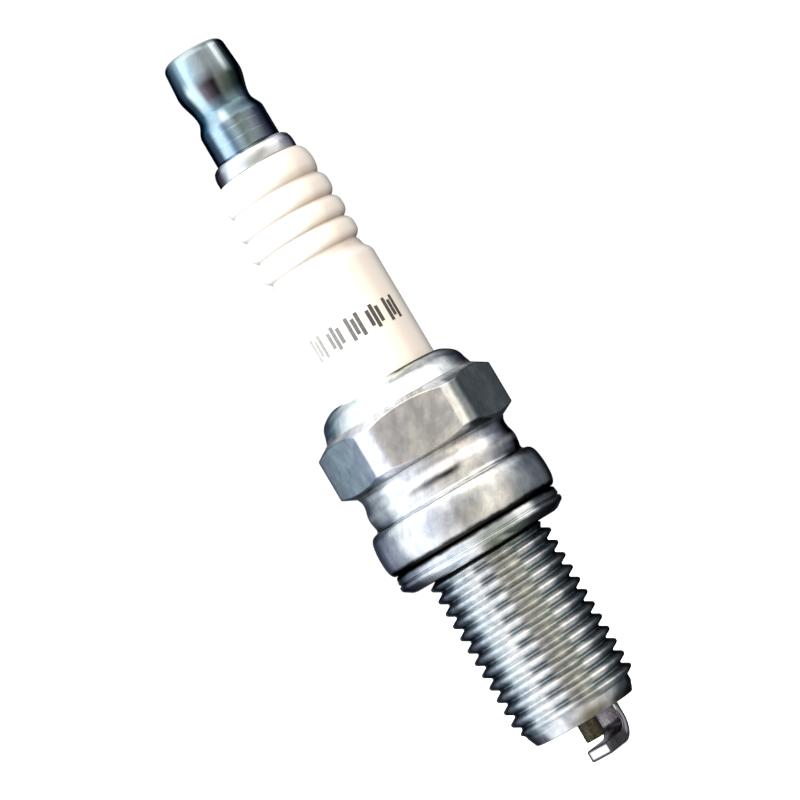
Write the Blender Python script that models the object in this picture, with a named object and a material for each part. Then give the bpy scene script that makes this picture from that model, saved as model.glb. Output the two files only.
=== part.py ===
"""Spark plug with an M12 x 1.25 thread, 19 mm reach, a 5/8 inch hexagon and a removable terminal nut.

The plug stands on its axis, +Z towards the terminal. The origin is on the axis, in the plane of the
shell's seat. Profiles are lists of (radius, height) in millimetres; the meshes are in metres.
"""
import math

import bmesh
import bpy

MM = 0.001                      # metres in one millimetre
GAP = 0.05                      # clearance between pieces that touch on the real plug

# Roundness: the shell and its gasket carry the hexagon, so their count is a multiple of six.
SHELL_SEGMENTS = 36
CORE_SEGMENTS = 24

# Driving dimensions of the shell.
REACH = 19.0                    # seat to the end face
PITCH = 1.25
CREST_R = 5.92
ROOT_R = 5.23
CREST_AT_ANGLE_0 = -16.97       # height of one crest at angle 0
THREAD_TOP = -2.05              # the crest has faded away here
THREAD_FULL_TOP = -2.65
THREAD_FULL_BOTTOM = -17.0
THREAD_BOTTOM = -18.0
NOSE_TAPER_TOP = -18.1          # below this the root narrows towards the end face
NOSE_TAPER = 0.45               # by this much for each millimetre
NECK_R = 5.25
NECK_END = -1.2                 # the helical grid of the thread starts below this
FLANGE_R = 8.5
HEX_FLAT_R = 15.875 / 2         # 5/8 inch across the flats
HEX_CORNER_R = 8.75             # the corners are rounded to this
HEX_TOP = 13.0
HEX_BOTTOM = 7.55
HEX_TOP_R = 7.32                # where the chamfer over the hexagon starts
HEX_TOP_SLOPE = 0.62
HEX_BOTTOM_R = 7.45
HEX_BOTTOM_SLOPE = 0.5
LIP_TOP = 15.4
SHELL_BORE_R = 6.2
THREAD_BORE_R = 4.1
LEDGE_R = 3.4
NOSE_BORE_R = 3.75
END_R = 4.85

# Driving dimensions of the ceramic.
INSULATOR_TOP = 37.2
BODY_R = 5.05
SHOULDER_R = SHELL_BORE_R - 0.08
LEG_R = THREAD_BORE_R - 0.08
BORE_R = 2.0
NOSE_PASSAGE_R = 1.25
NOSE_END = -18.2
BORE_STEP = -3.0
GROOVE_R = 4.25
RIB_GROOVES = (34.3, 31.95, 29.8, 27.65)
RIB_RADII = (4.6, 4.8, 4.85, 4.85)

# Driving dimensions of the pieces in the bore.
FILL_R = BORE_R - GAP
ELECTRODE_R = NOSE_PASSAGE_R - GAP
TIP_R = 0.95
TIP_END = -21.0
LOWER_SEAL_TOP = 3.0
RESISTOR_TOP = 11.0
STUD_END = 14.0
STUD_SHAFT_R = BORE_R - 0.12
STUD_KNURL_R = 1.45
COLLAR_R = 3.9
COLLAR_TOP = 38.9
STUD_THREAD_CREST_R = 1.95
STUD_THREAD_ROOT_R = 1.57
STUD_PITCH = 0.7
STUD_TOP = 46.2

# Driving dimensions of the terminal nut, with heights measured from its own base.
NUT_BASE = COLLAR_TOP + GAP
NUT_HEIGHT = 49.15 - NUT_BASE
NUT_R = 3.15
NUT_WAIST_R = 2.62
NUT_SHOULDER_R = 2.98           # the head narrows to this below its rounded top
NUT_BORE_R = STUD_THREAD_CREST_R + 0.1
NUT_BORE_DEPTH = 8.0

# Driving dimensions of the seat gasket, with heights measured from its own top face.
GASKET_TOP = -GAP
GASKET_THICKNESS = 2.0
GASKET_OUTER_R = 8.18
GASKET_INNER_R = 5.78

# Packing above the ceramic's shoulder.
WIRE_R = 0.5
UPPER_RING_Z = 13.95
LOWER_RING_Z = 10.3

# Ground electrode strap.
STRAP_WIDTH = 2.3
STRAP_THICKNESS = 1.12
STRAP_ANGLE = 60.0              # direction of the leg from +X towards +Y, in degrees
STRAP_LEG_R = 4.27              # radius of the middle of the leg
STRAP_BEND_R = 1.66             # bend radius along the middle of the strap
STRAP_PAST_AXIS = 0.82
SPARK_GAP = 0.6


# ---------------------------------------------------------------- shape helpers

def arc(centre_r, centre_z, radius, start, end, steps):
    """Points of a round stretch of a profile; angles in degrees from the +r direction."""
    points = []
    for step in range(steps + 1):
        angle = math.radians(start + (end - start) * step / steps)
        points.append((centre_r + radius * math.cos(angle), centre_z + radius * math.sin(angle)))
    return points


def blend(low, high, amount):
    """Smooth step from low to high as amount goes from 0 to 1."""
    amount = min(1.0, max(0.0, amount))
    return low + (high - low) * (0.5 - 0.5 * math.cos(math.pi * amount))


def vertex_at(bm, radius, angle, z):
    """A vertex at a radius and height in millimetres, and an angle in radians round the axis."""
    return bm.verts.new((radius * math.cos(angle) * MM, radius * math.sin(angle) * MM, z * MM))


def ring(bm, radius, z, segments):
    """A circle of vertices round the axis, or one vertex on it."""
    if radius == 0:
        return [vertex_at(bm, 0.0, 0.0, z)]
    return [vertex_at(bm, radius, 2 * math.pi * column / segments, z) for column in range(segments)]


def bridge(bm, first, second):
    """Faces between two rings of equal count, or between a ring and a vertex on the axis."""
    count = max(len(first), len(second))
    for column in range(count):
        following = (column + 1) % count
        if len(first) == 1:
            bm.faces.new((first[0], second[following], second[column]))
        elif len(second) == 1:
            bm.faces.new((first[column], first[following], second[0]))
        else:
            bm.faces.new((first[column], first[following], second[following], second[column]))


def bridge_all(bm, rings):
    """Faces between each ring and the next."""
    for first, second in zip(rings, rings[1:]):
        bridge(bm, first, second)


def finish(name, bm, material, parent, height=0.0):
    """Turn the working mesh into a named object on the plug's axis."""
    bmesh.ops.recalc_face_normals(bm, faces=bm.faces)
    mesh = bpy.data.meshes.new(name)
    bm.to_mesh(mesh)
    bm.free()
    mesh.materials.append(material)
    mesh.shade_smooth()
    mesh.set_sharp_from_angle(angle=math.radians(32))
    piece = bpy.data.objects.new(name, mesh)
    piece.location = (0.0, 0.0, height * MM)
    piece.parent = parent
    bpy.context.scene.collection.objects.link(piece)
    return piece


def turned(name, profile, segments, material, parent, height=0.0):
    """A piece turned from its profile: closed round the bore, or with both ends on the axis."""
    bm = bmesh.new()
    rings = [ring(bm, radius, z, segments) for radius, z in profile]
    bridge_all(bm, rings)
    if len(rings[0]) > 1:
        bridge(bm, rings[-1], rings[0])
    return finish(name, bm, material, parent, height)


def weave_thread(bm, lower, upper, radius_at, pitch, offsets, first_crest, turns):
    """A right-hand helical grid of faces between two plain rings.

    offsets are the heights of one pitch's points from its crest. Each column of vertices stands a
    little higher than the last, so after a full turn it meets the column one pitch further up.
    """
    segments = len(lower)
    per_pitch = len(offsets)
    heights = [first_crest + pitch * turn + offset for turn in range(turns) for offset in offsets]
    columns = []
    for column in range(segments):
        angle = 2 * math.pi * column / segments
        vertices = []
        for row, height in enumerate(heights):
            z = height + pitch * column / segments
            vertices.append(vertex_at(bm, radius_at(z, row % per_pitch), angle, z))
        columns.append(vertices)
    last = columns[-1]
    first = columns[0]
    for left, right in zip(columns, columns[1:]):
        for row in range(len(heights) - 1):
            bm.faces.new((left[row], right[row], right[row + 1], left[row + 1]))
    for row in range(len(heights) - per_pitch - 1):
        bm.faces.new((last[row], first[row + per_pitch], first[row + per_pitch + 1], last[row + 1]))
    for column in range(segments - 1):
        left, right = columns[column], columns[column + 1]
        bm.faces.new((lower[column], lower[column + 1], right[0], left[0]))
        bm.faces.new((left[-1], right[-1], upper[column + 1], upper[column]))
    # The grid starts and ends in a step one pitch high, at the seam between the last and first column.
    bm.faces.new([lower[-1], lower[0]] + first[:per_pitch + 1] + [last[0]])
    bm.faces.new([upper[0], upper[-1]] + list(reversed(last[-per_pitch - 1:])) + [first[-1]])


def principled(name, colour, metallic, roughness):
    """A plain Principled BSDF material."""
    material = bpy.data.materials.new(name)
    material.use_nodes = True
    shader = material.node_tree.nodes["Principled BSDF"]
    shader.inputs["Base Color"].default_value = (*colour, 1.0)
    shader.inputs["Metallic"].default_value = metallic
    shader.inputs["Roughness"].default_value = roughness
    return material


# ---------------------------------------------------------------- shell

def hex_angles():
    """Column angles of the hexagon: each corner, both ends of its rounding, and four steps per flat."""
    corner_half = 30.0 - math.degrees(math.acos(HEX_FLAT_R / HEX_CORNER_R))
    flat_steps = SHELL_SEGMENTS // 6 - 2
    angles = []
    for corner in range(6):
        angles.append(60.0 * corner)
        for step in range(flat_steps + 1):
            angles.append(60.0 * corner + corner_half + (60.0 - 2 * corner_half) * step / flat_steps)
    return angles


def hex_ring(bm, height_at):
    """A ring round the hexagon, whose flats face +Y and -Y; height_at gives z from the radius."""
    vertices = []
    for angle in hex_angles():
        from_flat = math.radians(angle % 60.0 - 30.0)
        radius = min(HEX_CORNER_R, HEX_FLAT_R / math.cos(from_flat))
        vertices.append(vertex_at(bm, radius, math.radians(angle), height_at(radius)))
    return vertices


def thread_fade(z):
    """1 along the full thread, falling to 0 where it runs out at both ends."""
    top = (THREAD_TOP - z) / (THREAD_TOP - THREAD_FULL_TOP)
    bottom = (z - THREAD_BOTTOM) / (THREAD_FULL_BOTTOM - THREAD_BOTTOM)
    return blend(0.0, 1.0, min(top, bottom))


def thread_radius(z, point):
    """Radius of the thread's surface: point 2 is the root, 0 and 1 are the crest's two edges."""
    root = ROOT_R - max(0.0, NOSE_TAPER_TOP - z) * NOSE_TAPER
    if point == 2:
        return root
    return root + (CREST_R - ROOT_R) * thread_fade(z)


def shell(material, parent):
    """The steel body: crimped lip, hexagon, barrel, flange, neck, thread and stepped bore."""
    bm = bmesh.new()

    def plain(points):
        return [ring(bm, radius, z, SHELL_SEGMENTS) for radius, z in points]

    lip = plain([
        (5.12, 14.95), (5.12, 15.2), (5.3, LIP_TOP), (5.8, 15.2), (6.35, 14.9), (6.8, 14.5), (7.05, 13.95),
        (7.2, 13.45), (HEX_TOP_R, HEX_TOP)])
    hexagon = [
        hex_ring(bm, lambda radius: HEX_TOP - (radius - HEX_TOP_R) * HEX_TOP_SLOPE),
        hex_ring(bm, lambda radius: HEX_BOTTOM + (radius - HEX_BOTTOM_R) * HEX_BOTTOM_SLOPE),
    ]
    barrel = plain([
        (HEX_BOTTOM_R, HEX_BOTTOM), (7.25, 7.2), (7.22, 6.8), (7.4, 6.1), (7.48, 5.5), (7.42, 4.8),
        (7.31, 4.2), (7.75, 4.05), (8.19, 3.7), (8.38, 3.1), (FLANGE_R, 2.0), (8.44, 0.9), (8.28, 0.4),
        (8.0, 0.0), (NECK_R + 0.15, 0.0), (NECK_R, -0.15), (NECK_R, NECK_END)])
    nose = plain([(5.08, -18.45), (END_R, -18.95), (END_R - 0.1, -REACH)])
    bore = plain([
        (NOSE_BORE_R + 0.1, -REACH), (NOSE_BORE_R, -REACH + 0.15), (NOSE_BORE_R, -6.8), (LEDGE_R, -6.3),
        (LEDGE_R, -4.9), (THREAD_BORE_R, -4.3), (THREAD_BORE_R, 1.4), (SHELL_BORE_R, 3.0),
        (SHELL_BORE_R, 13.9), (6.05, 14.3), (5.6, 14.7)])

    bridge_all(bm, lip + hexagon + barrel)
    weave_thread(
        bm, nose[0], barrel[-1], thread_radius, PITCH, (-0.1, 0.1, PITCH / 2),
        CREST_AT_ANGLE_0 - PITCH, 13)
    bridge_all(bm, nose + bore + [lip[0]])
    return finish("shell", bm, material, parent)


def seat_gasket(material, parent):
    """Folded metal ring, loose on the neck between the flange and the first crest."""
    thickness = GASKET_THICKNESS
    profile = [
        (GASKET_INNER_R, -0.25), (GASKET_INNER_R + 0.25, 0.0), (7.55, 0.0), (7.92, -0.16), (8.1, -0.5),
        (GASKET_OUTER_R, -1.0), (8.12, -1.35), (7.85, -1.68), (7.4, -1.9), (6.95, -thickness),
        (GASKET_INNER_R + 0.3, -thickness), (GASKET_INNER_R, -1.75)]
    return turned("seat_gasket", profile, SHELL_SEGMENTS, material, parent, GASKET_TOP)


# ---------------------------------------------------------------- ceramic

def rib_profile():
    """Convex ribs with sharp creases between them, from the rounded top down to the last groove."""
    points = [(3.9, INSULATOR_TOP), (4.3, 36.85), (4.55, 36.2), (RIB_RADII[0], 35.5), (4.48, 34.8)]
    for upper, lower, radius in zip(RIB_GROOVES, RIB_GROOVES[1:], RIB_RADII[1:]):
        middle = (upper + lower) / 2
        height = upper - lower
        shoulder = GROOVE_R + 0.85 * (radius - GROOVE_R)
        points += [
            (GROOVE_R, upper), (shoulder, middle + 0.27 * height), (radius, middle),
            (shoulder, middle - 0.27 * height)]
    points.append((GROOVE_R, RIB_GROOVES[-1]))
    return points


def insulator(material, parent):
    """One ceramic from the collar to the firing end, with a stepped bore."""
    outside = rib_profile() + [
        (4.45, 27.1), (4.6, 26.6), (4.95, 26.3), (BODY_R, 25.9), (BODY_R, 10.0), (SHOULDER_R, 9.3),
        (SHOULDER_R, 3.15), (LEG_R, 1.55), (LEG_R, -3.75), (3.2, -4.45), (3.0, -5.2), (2.4, -17.7),
        (2.1, -18.1), (1.7, NOSE_END)]
    inside = [
        (NOSE_PASSAGE_R, NOSE_END), (NOSE_PASSAGE_R, BORE_STEP), (BORE_R, BORE_STEP),
        (BORE_R, INSULATOR_TOP)]
    return turned("insulator", outside + inside, CORE_SEGMENTS, material, parent)


# ---------------------------------------------------------------- pieces in the bore

def electrode_sheath(material, parent):
    """Nickel-alloy cup with a flanged head; its tip is turned down and reaches past the shell."""
    head = BORE_STEP + GAP
    profile = [
        (0, TIP_END), (TIP_R - 0.08, TIP_END), (TIP_R, TIP_END + 0.08), (TIP_R, -18.9), (ELECTRODE_R, -18.5),
        (ELECTRODE_R, head), (FILL_R - 0.05, head), (FILL_R - 0.05, head + 1.0), (1.3, head + 1.2),
        (1.3, head + 2.2), (0.7, head + 2.2), (0.7, -16.2), (0, -16.6)]
    return turned("electrode_sheath", profile, CORE_SEGMENTS, material, parent)


def electrode_core(material, parent):
    """Copper core, pressed into the sheath from its head end."""
    radius = 0.7 - GAP
    profile = [(0, -16.5), (radius, -16.1), (radius, BORE_STEP + 2.2), (0, BORE_STEP + 2.2)]
    return turned("electrode_core", profile, CORE_SEGMENTS, material, parent)


def lower_glass_seal(material, parent):
    """Conductive glass, fused round the neck of the electrode's head."""
    profile = [
        (0, LOWER_SEAL_TOP), (FILL_R, LOWER_SEAL_TOP), (FILL_R, -1.7), (1.38, -1.55), (1.38, -0.7),
        (0, -0.7)]
    return turned("lower_glass_seal", profile, CORE_SEGMENTS, material, parent)


def resistor(material, parent):
    """Suppression resistor between the two glass seals."""
    bottom = LOWER_SEAL_TOP + GAP
    profile = [(0, bottom), (FILL_R, bottom), (FILL_R, RESISTOR_TOP), (0, RESISTOR_TOP)]
    return turned("resistor", profile, CORE_SEGMENTS, material, parent)


def upper_glass_seal(material, parent):
    """Conductive glass, fused round the knurled end of the terminal stud."""
    recess_r = STUD_KNURL_R + GAP
    bottom = RESISTOR_TOP + GAP
    profile = [
        (0, bottom), (FILL_R, bottom), (FILL_R, 20.0), (recess_r, 20.0), (recess_r, STUD_END - GAP),
        (0, STUD_END - GAP)]
    return turned("upper_glass_seal", profile, CORE_SEGMENTS, material, parent)


def stud_thread_radius(z, point):
    """Radius of the M4 thread's surface, which fades out at both ends."""
    fade = blend(0.0, 1.0, min(z - COLLAR_TOP - 0.15, STUD_TOP - 0.1 - z) / 0.45)
    if point == 1:
        return STUD_THREAD_ROOT_R
    return STUD_THREAD_ROOT_R + (STUD_THREAD_CREST_R - STUD_THREAD_ROOT_R) * fade


def terminal_stud(material, parent):
    """Steel stud: knurled end in the glass, shaft, collar on the ceramic and M4 thread in the nut."""
    bm = bmesh.new()
    collar_bottom = INSULATOR_TOP + GAP
    outline = [
        (0, STUD_END), (STUD_KNURL_R - 0.2, STUD_END), (STUD_KNURL_R, STUD_END + 0.3),
        (STUD_KNURL_R, 20.3), (STUD_SHAFT_R, 20.8), (STUD_SHAFT_R, collar_bottom), (COLLAR_R, collar_bottom),
        (3.86, 38.2), (3.74, 38.62), (3.45, COLLAR_TOP), (STUD_THREAD_ROOT_R, COLLAR_TOP),
        (STUD_THREAD_ROOT_R, COLLAR_TOP + 0.06)]
    lower = [ring(bm, radius, z, CORE_SEGMENTS) for radius, z in outline]
    upper = [
        ring(bm, radius, z, CORE_SEGMENTS)
        for radius, z in ((STUD_THREAD_ROOT_R, STUD_TOP - 0.1), (1.45, STUD_TOP), (0, STUD_TOP))]
    bridge_all(bm, lower)
    weave_thread(
        bm, lower[-1], upper[0], stud_thread_radius, STUD_PITCH, (0.0, STUD_PITCH / 2),
        COLLAR_TOP + 0.1, 9)
    bridge_all(bm, upper)
    return finish("terminal_stud", bm, material, parent)


def nut_profile():
    """Outline of the hourglass terminal from the foot of its skirt to the middle of its top."""
    skirt_top = 2.9
    waist = 4.4
    head = 7.1
    corner = 0.75
    points = [(NUT_R - 0.12, 0.0), (NUT_R, 0.12), (NUT_R, skirt_top)]
    for step in (1, 2, 3):
        points.append((blend(NUT_R, NUT_WAIST_R, step / 3), skirt_top + (waist - skirt_top) * step / 3))
    for step in (1, 2, 3, 4):
        points.append((blend(NUT_WAIST_R, NUT_R, step / 4), waist + (head - waist) * step / 4))
    points += arc(NUT_SHOULDER_R - corner, NUT_HEIGHT - corner, corner, 8, 90, 4)
    points.append((0, NUT_HEIGHT))
    return points


def terminal_nut(material, parent):
    """Hourglass terminal with a blind bore over the stud's thread."""
    bore = [
        (0, NUT_BORE_DEPTH + 0.6), (NUT_BORE_R, NUT_BORE_DEPTH), (NUT_BORE_R, 0.25),
        (NUT_BORE_R + 0.25, 0.0)]
    return turned("terminal_nut", bore + nut_profile(), CORE_SEGMENTS, material, parent, NUT_BASE)


# ---------------------------------------------------------------- packing and inner seal

def packing_ring(name, centre_z, material, parent):
    """Round-wire ring in the space between the ceramic and the shell."""
    centre_r = (BODY_R + SHELL_BORE_R) / 2
    profile = arc(centre_r, centre_z, WIRE_R, 0, 315, 7)
    return turned(name, profile, CORE_SEGMENTS, material, parent)


def talc_filler(material, parent):
    """Powder pressed into a ring between the two packing rings."""
    inner = BODY_R + GAP
    outer = SHELL_BORE_R - 0.1
    bottom = LOWER_RING_Z + WIRE_R + GAP
    top = UPPER_RING_Z - WIRE_R - GAP
    profile = [(inner, bottom), (outer, bottom), (outer, top), (inner, top)]
    return turned("talc_filler", profile, CORE_SEGMENTS, material, parent)


def inner_gasket(material, parent):
    """Thin cone-shaped ring between the shell's ledge and the ceramic's step."""
    slope = 0.6 / (THREAD_BORE_R - LEDGE_R)
    inner = LEDGE_R + 0.06
    outer = THREAD_BORE_R - 0.08
    corners = []
    for lift, radii in ((0.08, (inner, outer)), (0.52, (outer, inner))):
        for radius in radii:
            corners.append((radius, -4.3 - (THREAD_BORE_R - radius) * slope + lift))
    return turned("inner_gasket", corners, CORE_SEGMENTS, material, parent)


# ---------------------------------------------------------------- ground electrode

def strap_path():
    """Middle line of the strap as (distance from the axis, height, direction in degrees)."""
    arm_z = TIP_END - SPARK_GAP - STRAP_THICKNESS / 2
    bend_centre_r = STRAP_LEG_R - STRAP_BEND_R
    bend_centre_z = arm_z + STRAP_BEND_R
    bend_steps = 6
    path = [(STRAP_LEG_R, -REACH - GAP, 0.0)]
    for step in range(bend_steps + 1):
        turn = 90.0 * step / bend_steps
        angle = math.radians(-turn)
        path.append((
            bend_centre_r + STRAP_BEND_R * math.cos(angle), bend_centre_z + STRAP_BEND_R * math.sin(angle),
            turn))
    path.append((-STRAP_PAST_AXIS, arm_z, 90.0))
    return path


def ground_electrode(material, parent):
    """Flat strap, from the shell's end face down and in under the centre electrode's tip."""
    bevel = 0.14
    half_t = STRAP_THICKNESS / 2
    half_w = STRAP_WIDTH / 2
    edge_t = half_t - bevel
    edge_w = half_w - bevel
    section = [
        (half_t, edge_w), (edge_t, half_w), (-edge_t, half_w), (-half_t, edge_w),
        (-half_t, -edge_w), (-edge_t, -half_w), (edge_t, -half_w), (half_t, -edge_w)]
    along = math.radians(STRAP_ANGLE)
    bm = bmesh.new()
    rings = []
    for distance, height, turn in strap_path():
        tilt = math.radians(turn)
        vertices = []
        for out, across in section:
            radial = distance + out * math.cos(tilt)
            z = height - out * math.sin(tilt)
            x = radial * math.cos(along) - across * math.sin(along)
            y = radial * math.sin(along) + across * math.cos(along)
            vertices.append(bm.verts.new((x * MM, y * MM, z * MM)))
        rings.append(vertices)
    bridge_all(bm, rings)
    bm.faces.new(rings[0])
    bm.faces.new(rings[-1])
    return finish("ground_electrode", bm, material, parent)


# ---------------------------------------------------------------- assembly

def build():
    """Clear the scene and make every piece of the plug."""
    for old in list(bpy.data.objects):
        bpy.data.objects.remove(old, do_unlink=True)

    plated = principled("plated_steel", (0.55, 0.56, 0.58), 1.0, 0.28)
    bright = principled("nickel_plate", (0.62, 0.66, 0.70), 1.0, 0.18)
    ceramic = principled("glazed_alumina", (0.90, 0.88, 0.85), 0.0, 0.12)
    nickel = principled("nickel_alloy", (0.30, 0.28, 0.25), 1.0, 0.45)
    copper = principled("copper", (0.72, 0.36, 0.22), 1.0, 0.35)
    glass = principled("conductive_glass", (0.16, 0.11, 0.09), 0.0, 0.25)
    carbon = principled("resistor_mix", (0.08, 0.08, 0.09), 0.0, 0.6)
    powder = principled("talc", (0.80, 0.79, 0.74), 0.0, 0.9)
    wire = principled("packing_steel", (0.42, 0.42, 0.43), 1.0, 0.4)

    plug = bpy.data.objects.new("spark_plug", None)
    bpy.context.scene.collection.objects.link(plug)

    shell(plated, plug)
    seat_gasket(plated, plug)
    insulator(ceramic, plug)
    terminal_stud(plated, plug)
    terminal_nut(bright, plug)
    upper_glass_seal(glass, plug)
    resistor(carbon, plug)
    lower_glass_seal(glass, plug)
    electrode_sheath(nickel, plug)
    electrode_core(copper, plug)
    packing_ring("upper_packing_ring", UPPER_RING_Z, wire, plug)
    talc_filler(powder, plug)
    packing_ring("lower_packing_ring", LOWER_RING_Z, wire, plug)
    inner_gasket(wire, plug)
    ground_electrode(nickel, plug)


build()
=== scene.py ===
"""Looks for the spark plug: fine meshes, plated metal, glazed ceramic and a small studio.

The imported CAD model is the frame. Outlines are lists of (radius, height) in millimetres on the plug's
axis, with height 0 in the plane of the seat and +Z towards the terminal; the meshes are in metres.
"""
import math

import bmesh
import bpy
from mathutils import Matrix, Vector


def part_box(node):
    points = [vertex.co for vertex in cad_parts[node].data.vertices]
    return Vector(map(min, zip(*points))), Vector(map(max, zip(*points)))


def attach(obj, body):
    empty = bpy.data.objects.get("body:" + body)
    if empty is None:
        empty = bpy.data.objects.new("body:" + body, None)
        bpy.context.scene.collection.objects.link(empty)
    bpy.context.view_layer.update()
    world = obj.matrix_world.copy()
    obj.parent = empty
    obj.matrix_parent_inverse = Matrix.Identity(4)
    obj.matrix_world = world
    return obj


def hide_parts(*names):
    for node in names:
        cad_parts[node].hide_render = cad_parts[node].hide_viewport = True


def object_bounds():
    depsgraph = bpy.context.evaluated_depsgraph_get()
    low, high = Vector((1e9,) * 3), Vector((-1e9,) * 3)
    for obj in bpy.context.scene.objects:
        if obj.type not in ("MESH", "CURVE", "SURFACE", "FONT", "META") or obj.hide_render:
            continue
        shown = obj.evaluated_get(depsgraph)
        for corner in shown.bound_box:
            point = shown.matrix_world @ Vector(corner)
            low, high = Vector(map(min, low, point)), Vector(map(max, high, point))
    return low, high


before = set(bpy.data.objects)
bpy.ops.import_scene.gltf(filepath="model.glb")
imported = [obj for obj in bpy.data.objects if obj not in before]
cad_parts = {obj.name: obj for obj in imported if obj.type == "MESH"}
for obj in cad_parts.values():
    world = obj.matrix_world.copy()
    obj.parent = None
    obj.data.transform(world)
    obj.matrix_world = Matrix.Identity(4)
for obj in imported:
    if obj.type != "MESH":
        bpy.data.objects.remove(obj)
cad_low, cad_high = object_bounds()

MM = 0.001                       # metres in one millimetre
BODY = "plug_body"

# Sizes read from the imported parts.
nut_low, nut_high = (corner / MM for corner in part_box("terminal_nut"))
gasket_low, gasket_high = (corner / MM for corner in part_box("seat_gasket"))
ceramic_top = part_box("insulator")[1].z / MM
stud_low, stud_high = (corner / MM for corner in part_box("terminal_stud"))
tip_low, tip_high = (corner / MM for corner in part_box("electrode_sheath"))
strap_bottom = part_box("ground_electrode")[0].z / MM

# Shell.
REACH = 19.0
PITCH = 1.25
CREST_R = 5.92
ROOT_R = 5.23
CREST_AT_ANGLE_0 = -16.97
THREAD_TOP = -1.9
THREAD_FULL_TOP = -2.55
THREAD_FULL_BOTTOM = -17.0
THREAD_BOTTOM = -18.0
NECK_R = 5.25
HEX_FLAT_R = 15.875 / 2
HEX_CORNER_R = 8.7
HEX_TOP = 13.0
HEX_BOTTOM = 7.55
SEAT_GAP = 0.045                 # what the CAD leaves between the flange and the gasket

# Ceramic.
BODY_R = 5.05
GROOVE_R = 4.25
RIB_GROOVES = (34.3, 31.95, 29.8, 27.65)
RIB_RADII = (4.8, 4.85, 4.85)

# Terminal.
COLLAR_R = stud_high.x
COLLAR_TOP = nut_low.z - 0.05
NUT_R = nut_high.x
NUT_HEIGHT = nut_high.z - nut_low.z
NUT_WAIST_R = 2.62
NUT_SHOULDER_R = 2.98
NUT_BORE_R = 2.05
STUD_THREAD_CREST_R = 1.95
STUD_THREAD_ROOT_R = 1.57
STUD_PITCH = 0.7

# Electrodes.
TIP_R = 0.95
STRAP_WIDTH = 2.3
STRAP_THICKNESS = 1.12
STRAP_ANGLE = math.radians(60)   # from +X, towards +Y
STRAP_OUT = (math.cos(STRAP_ANGLE), math.sin(STRAP_ANGLE), 0.0)
STRAP_ACROSS = (-math.sin(STRAP_ANGLE), math.cos(STRAP_ANGLE), 0.0)
STRAP_LEG_R = 4.27
STRAP_BEND_R = 1.66
STRAP_PAST_AXIS = 0.82


# ---------------------------------------------------------------- shape helpers

def mix(low, high, amount):
    """Straight step from low to high as amount goes from 0 to 1."""
    return low + (high - low) * amount


def ease(low, high, amount):
    """Smooth step from low to high as amount goes from 0 to 1."""
    amount = min(1.0, max(0.0, amount))
    return low + (high - low) * (0.5 - 0.5 * math.cos(math.pi * amount))


def soft_min(first, second, width):
    """The smaller value, with a rounded change-over as wide as width."""
    near = max(width - abs(first - second), 0.0) / width
    return min(first, second) - near * near * width / 4


def rounded(corners, steps=4):
    """An outline through corners (radius, height, fillet), with an arc in place of each filleted one."""
    points = []
    for index, (radius, height, fillet) in enumerate(corners):
        if fillet == 0 or index in (0, len(corners) - 1):
            points.append((radius, height))
            continue
        corner = Vector((radius, height))
        back = Vector(corners[index - 1][:2]) - corner
        ahead = Vector(corners[index + 1][:2]) - corner
        half = back.angle(ahead) / 2
        reach = min(fillet / math.tan(half), 0.49 * back.length, 0.49 * ahead.length)
        middle = corner + (back.normalized() + ahead.normalized()).normalized() * reach / math.cos(half)
        first = corner + back.normalized() * reach - middle
        last = corner + ahead.normalized() * reach - middle
        turn = math.atan2(first.x * last.y - first.y * last.x, first.dot(last))
        for step in range(steps + 1):
            spoke = Matrix.Rotation(turn * step / steps, 2) @ first
            points.append(tuple(middle + spoke))
    return points


def flowing(points, steps=4):
    """A smooth curve through the points of an outline."""
    padded = [points[0], *points, points[-1]]
    curve = []
    for before, start, end, after in zip(padded, padded[1:], padded[2:], padded[3:]):
        for step in range(steps):
            t = step / steps
            curve.append(tuple(
                0.5 * (2 * b + (c - a) * t + (2 * a - 5 * b + 4 * c - d) * t * t
                       + (3 * b - a - 3 * c + d) * t ** 3)
                for a, b, c, d in zip(before, start, end, after)))
    return curve + [points[-1]]


def even_angles(count):
    """Column angles round a plain turned piece, in degrees."""
    return [360.0 * column / count for column in range(count)]


def point_at(radius, angle, height):
    """A place in metres from cylinder coordinates in millimetres and degrees."""
    turn = math.radians(angle)
    return Vector((radius * math.cos(turn), radius * math.sin(turn), height)) * MM


def rings_of(bm, profile_at, angles):
    """Rings of vertices, one for each point of the outline that profile_at gives for a column.

    Plain turned pieces give the same outline at every angle.
    """
    columns = [profile_at(angle) for angle in angles]
    rings = []
    for row in range(len(columns[0])):
        if all(column[row][0] == 0 for column in columns):
            rings.append([bm.verts.new((0.0, 0.0, columns[0][row][1] * MM))])
            continue
        rings.append([
            bm.verts.new(point_at(column[row][0], angle, column[row][1]))
            for column, angle in zip(columns, angles)])
    return rings


def bridge(bm, first, second):
    """Faces between two rings of equal count, or between a ring and a vertex on the axis."""
    count = max(len(first), len(second))
    for column in range(count):
        following = (column + 1) % count
        if len(first) == 1:
            bm.faces.new((first[0], second[following], second[column]))
        elif len(second) == 1:
            bm.faces.new((first[column], first[following], second[0]))
        else:
            bm.faces.new((first[column], first[following], second[following], second[column]))


def bridge_all(bm, rings):
    """Faces between each ring and the next."""
    for first, second in zip(rings, rings[1:]):
        bridge(bm, first, second)


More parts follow.
